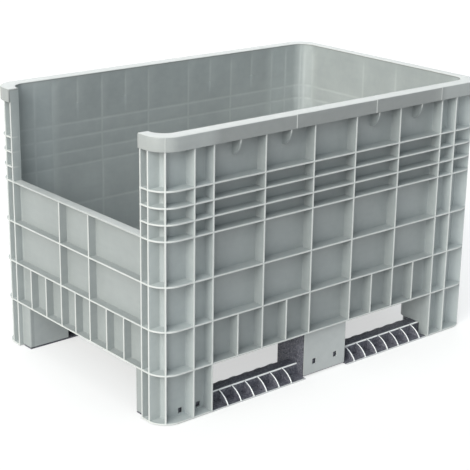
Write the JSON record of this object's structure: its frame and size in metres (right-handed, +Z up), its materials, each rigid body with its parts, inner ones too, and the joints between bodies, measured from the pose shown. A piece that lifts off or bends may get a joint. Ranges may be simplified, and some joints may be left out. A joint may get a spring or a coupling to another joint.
{
  "type": "pallet box",
  "caption": "Rigid ribbed plastic pallet box with a picking opening in one short side, standing on clip-on skid runners that leave fork entries on every side.",
  "frame": {"origin": "centre of the footprint, on the surface that the runners stand on", "axes": "+X along the long side, away from the picking opening; +Y across the width; +Z up"},
  "size_m": [1.2, 0.8, 0.78],
  "materials": {
    "tub_grey": "light grey polyethylene, satin as moulded",
    "runner_grey": "dark grey recycled polyethylene, slightly speckled"
  },
  "bodies": {
    "front_runner": {"front_runner_base": "runner_grey", "front_runner_deck": "runner_grey", "front_runner_ramp_ribs": "runner_grey", "front_runner_centre_block": "runner_grey", "front_runner_end_blocks": "runner_grey", "front_runner_lugs": "runner_grey"},
    "tub": {"floor_deck": "tub_grey", "front_wall": "tub_grey", "rear_wall": "tub_grey", "end_wall": "tub_grey", "picking_wall": "tub_grey", "picking_sill": "tub_grey", "post_front_left": "tub_grey", "post_front_right": "tub_grey", "post_rear_left": "tub_grey", "post_rear_right": "tub_grey", "rim_front": "tub_grey", "rim_rear": "tub_grey", "rim_end": "tub_grey", "rim_corner_front_left": "tub_grey", "rim_corner_front_right": "tub_grey", "rim_corner_rear_left": "tub_grey", "rim_corner_rear_right": "tub_grey", "foot_front_left": "tub_grey", "foot_front_right": "tub_grey", "foot_rear_left": "tub_grey", "foot_rear_right": "tub_grey", "centre_foot_front": "tub_grey", "centre_foot_rear": "tub_grey"},
    "rear_runner": {"rear_runner_base": "runner_grey", "rear_runner_deck": "runner_grey", "rear_runner_ramp_ribs": "runner_grey", "rear_runner_centre_block": "runner_grey", "rear_runner_end_blocks": "runner_grey", "rear_runner_lugs": "runner_grey"}
  },
  "joints": [
    {"name": "tub_lift_off", "type": "slide", "parent": "front_runner", "child": "tub", "axis": [0, 0, 1], "range_m": [0, 0.16]},
    {"name": "rear_runner_release", "type": "slide", "parent": "tub", "child": "rear_runner", "axis": [0, 0, -1], "range_m": [0, 0.16]}
  ],
  "couplings": [
    {"joint": "rear_runner_release", "follows": "tub_lift_off", "ratio": 1}
  ]
}
